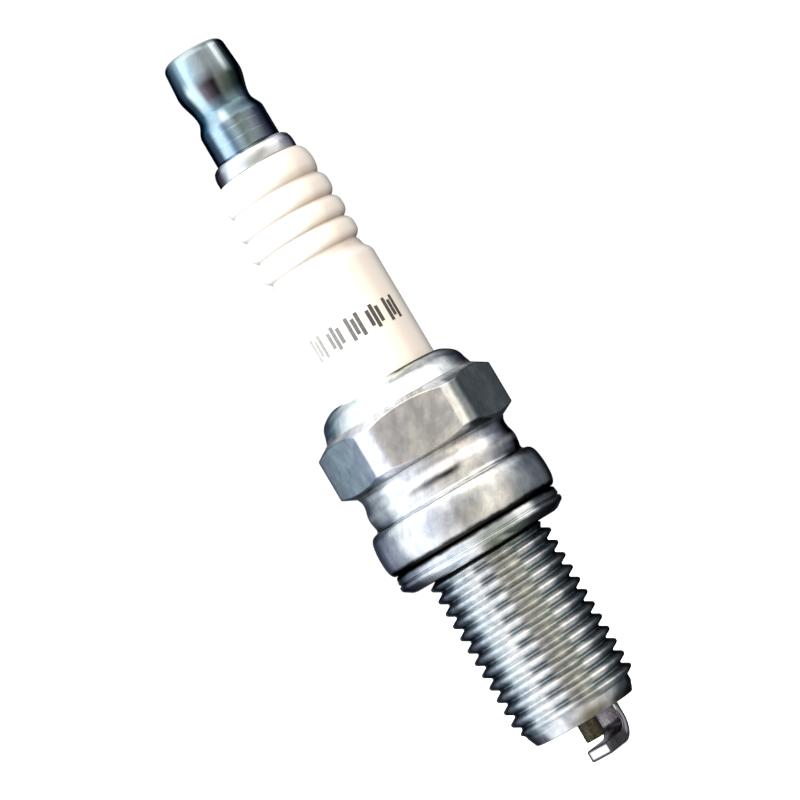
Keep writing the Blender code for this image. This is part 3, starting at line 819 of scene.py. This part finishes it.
def gasket_outline(angle):
    """Crushed folded ring: two rolled lobes with the fold line between them, seated on the flange."""
    top = gasket_high.z + SEAT_GAP
    bottom = gasket_low.z
    outer = gasket_high.x
    sway = 0.03 * math.sin(math.radians(2 * angle + 40)) + 0.02 * math.sin(math.radians(5 * angle))
    return rounded([
        (6.9, top, 0), (outer - 0.2, top, 0.3), (outer - 0.1 + 0.5 * sway, top - 0.78 + sway, 0.12),
        (outer - 0.26, top - 0.9 + sway, 0.06), (outer - 0.02, top - 1.02 + sway, 0.12),
        (outer - 0.02, top - 1.4 + 0.5 * sway, 0.35), (7.35, bottom + 0.1, 0.5), (6.95, bottom, 0.3),
        (6.06, bottom, 0.12), (5.78, bottom + 0.25, 0.1), (5.78, top - 0.22, 0.1), (6.02, top, 0.1),
        (6.2, top, 0)])


# ---------------------------------------------------------------- ceramic

def rib(upper, lower, radius):
    """One convex rib between two creases."""
    middle = (upper + lower) / 2
    half = (upper - lower) / 2
    steps = 14
    points = []
    for step in range(steps + 1):
        t = 0.985 * (1 - 2 * step / steps)
        points.append((GROOVE_R + (radius - GROOVE_R) * (1 - abs(t) ** 3) ** 0.95, middle + half * t))
    return points


def ceramic_outline(angle):
    """Outside of the ceramic from the collar down to its nose, then its bore back up."""
    top = ceramic_top
    dome = flowing([
        (3.7, top), (3.95, top - 0.02), (4.27, top - 0.3), (4.5, top - 0.85), (4.6, top - 1.5),
        (4.55, top - 2.15), (4.42, top - 2.6), (GROOVE_R, RIB_GROOVES[0] + 0.02)])
    ribs = []
    for upper, lower, radius in zip(RIB_GROOVES, RIB_GROOVES[1:], RIB_RADII):
        ribs += rib(upper, lower, radius)
    shoulder = flowing([
        (GROOVE_R, RIB_GROOVES[-1] - 0.02), (4.42, 27.3), (4.5, 26.95), (4.62, 26.65), (4.83, 26.4),
        (4.99, 26.15), (BODY_R, 25.8), (BODY_R, 25.3)])
    foot = rounded([
        (BODY_R, 16.0, 0), (BODY_R, 10.0, 0.3), (6.1, 9.3, 0.2), (6.1, 3.15, 0.2), (4.02, 1.55, 0.2),
        (4.02, -3.75, 0.2), (3.2, -4.45, 0.2), (3.0, -5.2, 0.3), (2.4, -17.7, 0.25), (1.9, -18.2, 0.2),
        (1.25, -18.2, 0.05), (1.25, -3.0, 0), (2.0, -3.0, 0), (2.0, top, 0.1), (2.4, top, 0)])
    return dome + ribs + shoulder + foot


def make_print():
    """Five plain printed marks, each a group of upright bars, on the front of the ceramic."""
    bm = bmesh.new()
    centre_z = 20.45
    spacing = 23.0
    bar_width = 0.36
    bar_step = 0.5
    steps = 4
    inner = BODY_R + 0.002
    outer = BODY_R + 0.02
    heights = ((2.2, 1.5, 2.2), (1.5, 2.2, 1.5))
    for mark in range(5):
        for bar, height in enumerate(heights[mark % 2]):
            middle = 270.0 + spacing * (mark - 2) + math.degrees(bar_step * (bar - 1) / BODY_R)
            half = math.degrees(bar_width / 2 / BODY_R)
            low = centre_z - height / 2
            high = centre_z + height / 2
            sides = []
            for step in range(steps + 1):
                angle = middle + half * (2 * step / steps - 1)
                sides.append([
                    bm.verts.new(point_at(radius, angle, z))
                    for radius, z in ((inner, low), (outer, low), (outer, high), (inner, high))])
            bridge_all(bm, sides)
            bm.faces.new(sides[0])
            bm.faces.new(sides[-1])
    return settle("print_marks", bm, ink, "insulator_glaze", BODY)


# ---------------------------------------------------------------- terminal

def stud_outline_low(angle):
    """From the knurled end in the glass up to the collar's top."""
    knurl = 0.05 * math.cos(math.radians(24 * angle))
    bottom = stud_low.z
    shaft = rounded([
        (0, bottom, 0), (1.25, bottom, 0.05), (1.4 + knurl, bottom + 0.3, 0.1), (1.4 + knurl, 20.2, 0.1),
        (1.88, 20.8, 0.1), (1.88, 37.25, 0)])
    collar = rounded([
        (1.9, 37.25, 0), (COLLAR_R - 0.02, 37.25, 0.08), (COLLAR_R, 37.9, 0), (3.86, 38.25, 0.3),
        (3.72, 38.66, 0.3), (3.42, COLLAR_TOP, 0.2), (1.75, COLLAR_TOP, 0.08),
        (STUD_THREAD_ROOT_R, COLLAR_TOP + 0.06, 0)])
    return shaft + collar


def stud_outline_high(angle):
    """The chamfered end of the stud's thread."""
    top = stud_high.z
    return rounded([(STUD_THREAD_ROOT_R, top - 0.12, 0), (1.42, top, 0.05), (0.6, top, 0), (0, top, 0)])


def stud_thread_radius(z, depth):
    """Radius of the M4 thread's surface, which fades out at both ends."""
    fade = ease(0.0, 1.0, min(z - COLLAR_TOP - 0.15, stud_high.z - 0.1 - z) / 0.45)
    return STUD_THREAD_ROOT_R + (STUD_THREAD_CREST_R - STUD_THREAD_ROOT_R) * depth * fade


def make_stud():
    """Terminal stud with its collar and the M4 thread that the nut goes on."""
    bm = bmesh.new()
    angles = even_angles(144)
    low = rings_of(bm, stud_outline_low, angles)
    high = rings_of(bm, stud_outline_high, angles)
    bridge_all(bm, low)
    bridge_all(bm, high)
    tooth = thread_tooth(
        STUD_THREAD_ROOT_R, STUD_THREAD_CREST_R, STUD_PITCH,
        crest_half=0.045, crest_fillet=0.06, root_fillet=0.12)
    weave_thread(
        bm, low[-1], high[0], angles, tooth, stud_thread_radius, STUD_PITCH,
        COLLAR_TOP + 0.25, turns=9)
    return settle("stud_body", bm, stud_steel, "stud_steel", BODY, "terminal_stud")


def nut_outline(angle):
    """The hourglass terminal: blind bore, then the outside from the skirt's foot to the top."""
    base = nut_low.z
    skirt_top = 2.9
    waist = 4.4
    head = 7.1
    corner = 0.75
    groove_depth = 0.014
    bore = rounded([
        (0, base + 8.6, 0), (NUT_BORE_R, base + 8.0, 0.1), (NUT_BORE_R, base + 0.25, 0.05),
        (NUT_BORE_R + 0.25, base, 0.04), (NUT_R - 0.14, base, 0.05), (NUT_R, base + 0.14, 0.06),
        (NUT_R, base + 0.9, 0)])
    grooves = []
    for height in (1.25, 2.3):
        grooves += rounded([
            (NUT_R, base + height - 0.2, 0), (NUT_R, base + height - 0.14, 0.05),
            (NUT_R - groove_depth, base + height, 0.06), (NUT_R, base + height + 0.14, 0.05),
            (NUT_R, base + height + 0.2, 0)])
    flare = []
    for step in range(13):
        part = step / 12
        flare.append((ease(NUT_R, NUT_WAIST_R, part), base + mix(skirt_top, waist, part)))
    for step in range(1, 21):
        part = step / 20
        flare.append((ease(NUT_WAIST_R, NUT_R, part), base + mix(waist, head, part)))
    crown = []
    for step in range(13):
        turn = math.radians(90 * step / 12)
        crown.append((
            NUT_SHOULDER_R - corner + corner * math.cos(turn),
            base + NUT_HEIGHT - corner + corner * math.sin(turn)))
    return bore + grooves + flare + crown + [(1.1, base + NUT_HEIGHT), (0, base + NUT_HEIGHT)]


# ---------------------------------------------------------------- electrodes

def tip_outline(angle):
    """Nickel cup: the turned-down tip, the stem in the ceramic and the flanged head."""
    end = tip_low.z
    head = tip_high.z - 2.2
    return rounded([
        (0, end, 0), (TIP_R - 0.06, end, 0.05), (TIP_R, end + 0.1, 0.05), (TIP_R, -18.95, 0.05),
        (1.2, -18.55, 0.08), (1.2, head, 0), (1.9, head, 0.05), (1.9, head + 1.0, 0.1),
        (1.3, head + 1.2, 0.05), (1.3, tip_high.z, 0.05), (0.7, tip_high.z, 0), (0.7, -16.2, 0),
        (0, -16.6, 0)])


def strap_route():
    """Middle line of the strap as (distance from the axis, height, direction in degrees)."""
    arm_z = strap_bottom + STRAP_THICKNESS / 2
    bend_r = STRAP_LEG_R - STRAP_BEND_R
    bend_z = arm_z + STRAP_BEND_R
    steps = 18
    route = [(STRAP_LEG_R, -REACH - 0.04, 0.0), (STRAP_LEG_R, mix(-REACH, bend_z, 0.6), 0.0)]
    for step in range(steps + 1):
        turn = 90.0 * step / steps
        across = math.radians(turn)
        route.append((
            bend_r + STRAP_BEND_R * math.cos(across), bend_z - STRAP_BEND_R * math.sin(across), turn))
    route.append((0.4, arm_z, 90.0))
    route.append((0.06 - STRAP_PAST_AXIS, arm_z, 90.0))
    return route


def strap_section(inset):
    """Outline of the strap as (out, across), a rounded oblong pulled in by inset."""
    half_t = STRAP_THICKNESS / 2 - inset
    half_w = STRAP_WIDTH / 2 - inset
    fillet = 0.2
    points = []
    for corner, (out, across) in enumerate(((1, 1), (-1, 1), (-1, -1), (1, -1))):
        for step in range(5):
            turn = math.radians(90.0 * corner + 22.5 * step)
            points.append((
                out * (half_t - fillet) + fillet * math.cos(turn),
                across * (half_w - fillet) + fillet * math.sin(turn)))
    return points


def strap_point(outward, across, height):
    """A place in metres from distances along the strap's direction, across it and up."""
    return Vector((
        outward * STRAP_OUT[0] + across * STRAP_ACROSS[0],
        outward * STRAP_OUT[1] + across * STRAP_ACROSS[1], height)) * MM


def make_strap():
    """Ground electrode strap with its rounded edges and its sheared end."""
    bm = bmesh.new()

    def section_ring(distance, height, turn, inset):
        """The strap's outline at one place on its route."""
        tilt = math.radians(turn)
        return [
            bm.verts.new(strap_point(
                distance + out * math.cos(tilt), across, height - out * math.sin(tilt)))
            for out, across in strap_section(inset)]

    rings = [section_ring(distance, height, turn, 0.0) for distance, height, turn in strap_route()]
    distance, height, turn = strap_route()[-1]
    rings.append(section_ring(distance - 0.04, height, turn, 0.02))
    rings.append(section_ring(distance - 0.06, height, turn, 0.07))
    bridge_all(bm, rings)
    bm.faces.new(rings[0])
    bm.faces.new(rings[-1])
    return settle("ground_strap", bm, strap_nickel, "strap_nickel", BODY, "ground_electrode")


def make_weld():
    """The low weld bead round the foot of the strap, on the shell's end face."""
    bm = bmesh.new()
    half_t = STRAP_THICKNESS / 2
    half_w = STRAP_WIDTH / 2
    steps = 48
    layers = ((0.12, 0.0), (0.11, 0.05), (0.06, 0.12), (-0.02, 0.2), (-0.1, 0.22))
    rings = []
    for spread, drop in layers:
        vertices = []
        for step in range(steps):
            turn = 2 * math.pi * step / steps
            square = (abs(math.cos(turn)) ** 6 + abs(math.sin(turn)) ** 6) ** (-1 / 6)
            lump = spread + 0.02 * math.sin(5 * turn + 1.0) + 0.015 * math.sin(11 * turn)
            room = 0.02 if math.cos(turn) > 0 else lump     # the shell's rim is close on that side
            out = (half_t + min(lump, room)) * square * math.cos(turn)
            across = (half_w + lump) * square * math.sin(turn)
            vertices.append(bm.verts.new(strap_point(
                STRAP_LEG_R - 0.03 + out, across, -REACH - 0.005 - drop)))
        rings.append(vertices)
    bridge_all(bm, rings)
    bm.faces.new(rings[0])
    bm.faces.new(rings[-1])
    return settle("strap_weld", bm, weld_nickel, "strap_nickel", BODY)


# ---------------------------------------------------------------- carried-over parts

# CAD node: material, light and dark tones, cells per millimetre, roughness, bump depth, metallic.
INNER_LOOKS = {
    "upper_glass_seal": ("seal_glass_upper", (0.24, 0.17, 0.14), (0.10, 0.07, 0.06), 3.0, 0.25, 0.02),
    "lower_glass_seal": ("seal_glass_lower", (0.22, 0.16, 0.14), (0.09, 0.07, 0.06), 3.4, 0.25, 0.02),
    "resistor": ("resistor_grain", (0.15, 0.15, 0.16), (0.04, 0.04, 0.05), 5.0, 0.6, 0.03),
    "electrode_core": ("core_copper", (0.80, 0.43, 0.27), (0.62, 0.29, 0.17), 2.2, 0.33, 0.006, 1.0),
    "talc_filler": ("talc_powder", (0.86, 0.85, 0.80), (0.70, 0.69, 0.64), 6.0, 0.88, 0.03),
    "upper_packing_ring": ("ring_steel_upper", (0.50, 0.50, 0.51), (0.36, 0.36, 0.37), 2.5, 0.36, 0.01, 1.0),
    "lower_packing_ring": ("ring_steel_lower", (0.48, 0.48, 0.50), (0.34, 0.34, 0.36), 2.8, 0.38, 0.01, 1.0),
    "inner_gasket": ("inner_gasket_steel", (0.52, 0.51, 0.50), (0.38, 0.37, 0.36), 3.0, 0.4, 0.01, 1.0),
}


def finish_inner_parts():
    """Better materials for the CAD parts that stay as they are, which are hidden inside."""
    for node, look in INNER_LOOKS.items():
        material = granular(*look)
        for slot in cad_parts[node].material_slots:
            slot.material = material


make_shell()
turn_piece(
    "gasket_ring", gasket_outline, 180, gasket_plate, "gasket_plate", "gasket_body", "seat_gasket",
    has_hole=True)
turn_piece(
    "ceramic_body", ceramic_outline, 144, glaze, "insulator_glaze", BODY, "insulator", has_hole=True)
make_print()
make_stud()
turn_piece(
    "nut_cap", nut_outline, 144, terminal_plate, "terminal_plate", "nut_body", "terminal_nut")
turn_piece(
    "centre_electrode", tip_outline, 96, tip_nickel, "electrode_nickel", BODY, "electrode_sheath")
make_strap()
make_weld()
finish_inner_parts()


# ---------------------------------------------------------------- studio

# The light round the object as rings of colour. Each ring is one elevation in degrees, and its stops
# are (azimuth, red, green, blue), azimuth 0 in front of the object (-Y) and 90 at its right (+X), the
# colours in percent of white.
LIGHT_RINGS = (
    (-60, (
        (-180, 40, 40, 41), (-90, 150, 160, 170), (-40, 140, 145, 150), (0, 80, 78, 74), (90, 30, 31, 31))),
    (-30, (
        (-180, 10, 10, 12), (-130, 5, 6, 8), (-100, 30, 36, 44), (-75, 150, 160, 170), (-35, 140, 140, 142),
        (0, 95, 94, 90), (40, 80, 79, 74), (70, 60, 61, 62), (100, 8, 9, 9))),
    (-2, (
        (-180, 50, 51, 54), (-172, 8, 9, 12), (-145, 30, 33, 40), (-105, 55, 62, 72), (-80, 180, 188, 195),
        (-42, 150, 155, 162), (-20, 95, 96, 97), (0, 72, 69, 65), (14, 74, 71, 66), (30, 135, 130, 119),
        (60, 125, 121, 112), (85, 50, 53, 55), (118, 26, 28, 30), (150, 4, 4, 5), (172, 3, 3, 5))),
    (12, (
        (-180, 45, 46, 48), (-172, 8, 9, 12), (-145, 20, 23, 28), (-105, 40, 47, 56), (-80, 150, 160, 170),
        (-60, 170, 180, 190), (-38, 110, 120, 132), (-10, 95, 98, 102), (18, 70, 71, 68),
        (50, 140, 138, 132), (76, 130, 128, 122), (90, 40, 43, 47), (118, 20, 21, 24), (150, 4, 4, 6),
        (172, 3, 4, 6))),
    (22, (
        (-180, 20, 21, 22), (-134, 10, 13, 17), (-118, 45, 52, 58), (-100, 95, 105, 110),
        (-80, 140, 150, 160), (-50, 190, 195, 200), (-10, 150, 150, 150), (30, 120, 118, 112),
        (50, 220, 215, 205), (76, 220, 215, 205), (95, 110, 115, 118), (114, 40, 43, 45), (134, 6, 6, 7))),
    (40, (
        (-180, 110, 112, 115), (-140, 35, 39, 43), (-108, 100, 110, 115), (-80, 170, 176, 182),
        (-10, 200, 200, 200), (50, 210, 206, 198), (76, 170, 166, 158), (100, 100, 103, 105),
        (140, 25, 26, 28))),
    (60, (
        (-180, 150, 152, 155), (-90, 160, 164, 170), (0, 190, 190, 190), (60, 160, 156, 148),
        (110, 60, 60, 62))),
)


def make_world():
    """Soft studio light from all round, and a plain white background."""
    world = bpy.data.worlds.new("studio")
    bpy.context.scene.world = world
    world.use_nodes = True
    tree = world.node_tree
    tree.nodes.clear()
    source = add(tree, "ShaderNodeTexCoord")
    direction = add(tree, "ShaderNodeSeparateXYZ", {"Vector": source.outputs["Generated"]})
    azimuth = azimuth_in(tree, source.outputs["Generated"])
    rise = add(tree, "ShaderNodeMath", operation="ARCSINE")
    tree.links.new(direction.outputs["Z"], rise.inputs[0])
    colour = zoned(tree, azimuth, multiply(tree, rise.outputs[0], math.degrees(1.0)), LIGHT_RINGS)
    light = add(tree, "ShaderNodeBackground", {"Color": colour})
    backdrop = add(tree, "ShaderNodeBackground", {"Color": (1, 1, 1, 1), "Strength": 1.05})
    path = add(tree, "ShaderNodeLightPath")
    chosen = add(tree, "ShaderNodeMixShader", {0: path.outputs["Is Camera Ray"]})
    tree.links.new(light.outputs[0], chosen.inputs[1])
    tree.links.new(backdrop.outputs[0], chosen.inputs[2])
    output = add(tree, "ShaderNodeOutputWorld")
    tree.links.new(chosen.outputs[0], output.inputs["Surface"])


def make_floor():
    """A plain pale floor that the strap's lowest edge stands on, blown out to white like the backdrop."""
    bm = bmesh.new()
    bmesh.ops.create_grid(bm, x_segments=1, y_segments=1, size=3.0)
    mesh = bpy.data.meshes.new("floor")
    bm.to_mesh(mesh)
    bm.free()
    material, tree, shader = surface("pale_floor")
    wire(
        tree, shader, Base_Color=(0.9, 0.9, 0.9, 1.0), Roughness=0.8, Specular_IOR_Level=0.1,
        Emission_Color=(1.0, 1.0, 1.0, 1.0), Emission_Strength=0.75)
    mesh.materials.append(material)
    floor = bpy.data.objects.new("floor", mesh)
    floor.location = (0.0, 0.0, cad_low.z - 0.05 * MM)
    floor.visible_glossy = False
    floor.visible_diffuse = False
    floor.visible_shadow = False
    bpy.context.scene.collection.objects.link(floor)


def make_fill(name, azimuth, elevation, colour, strength, spread):
    """A soft light for the ceramic that the polished metal doesn't mirror."""
    data = bpy.data.lights.new(name, "SUN")
    data.color = colour
    data.energy = strength
    data.angle = math.radians(spread)
    lamp = bpy.data.objects.new(name, data)
    turn = math.radians(azimuth)
    lift = math.radians(elevation)
    towards = Vector((
        math.sin(turn) * math.cos(lift), -math.cos(turn) * math.cos(lift), math.sin(lift)))
    lamp.rotation_euler = towards.to_track_quat("Z", "Y").to_euler()
    lamp.visible_glossy = False
    bpy.context.scene.collection.objects.link(lamp)


def make_camera():
    """The camera, level with the shell and rolled so that the terminal points to the upper left."""
    distance = 300.0
    azimuth = math.radians(-2.0)
    roll = math.radians(30.6)
    framed = 70.3
    eye_z = -1.5
    target_z = 13.25
    aside = 0.27
    right = Vector((math.cos(azimuth), math.sin(azimuth), 0.0))
    back = Vector((math.sin(azimuth), -math.cos(azimuth), 0.0))
    eye = (right * aside + back * distance + Vector((0, 0, eye_z))) * MM
    target = (right * aside + Vector((0, 0, target_z))) * MM
    up = right * math.sin(roll) + Vector((0, 0, math.cos(roll)))
    forward = (target - eye).normalized()
    side = forward.cross(up).normalized()
    data = bpy.data.cameras.new("camera")
    data.sensor_width = 36.0
    data.lens = data.sensor_width * distance / framed
    data.clip_start = 0.01
    data.clip_end = 20.0
    camera = bpy.data.objects.new("camera", data)
    axes = Matrix((side, side.cross(forward), -forward)).transposed()
    camera.matrix_world = Matrix.Translation(eye) @ axes.to_4x4()
    bpy.context.scene.collection.objects.link(camera)
    bpy.context.scene.camera = camera


make_world()
make_floor()
make_fill("left_fill", -70, 20, (1.0, 1.0, 1.0), 2.6, 60)
make_fill("warm_fill", 40, 30, (1.0, 0.94, 0.88), 0.5, 60)
make_camera()
bpy.context.scene.view_settings.view_transform = "Standard"
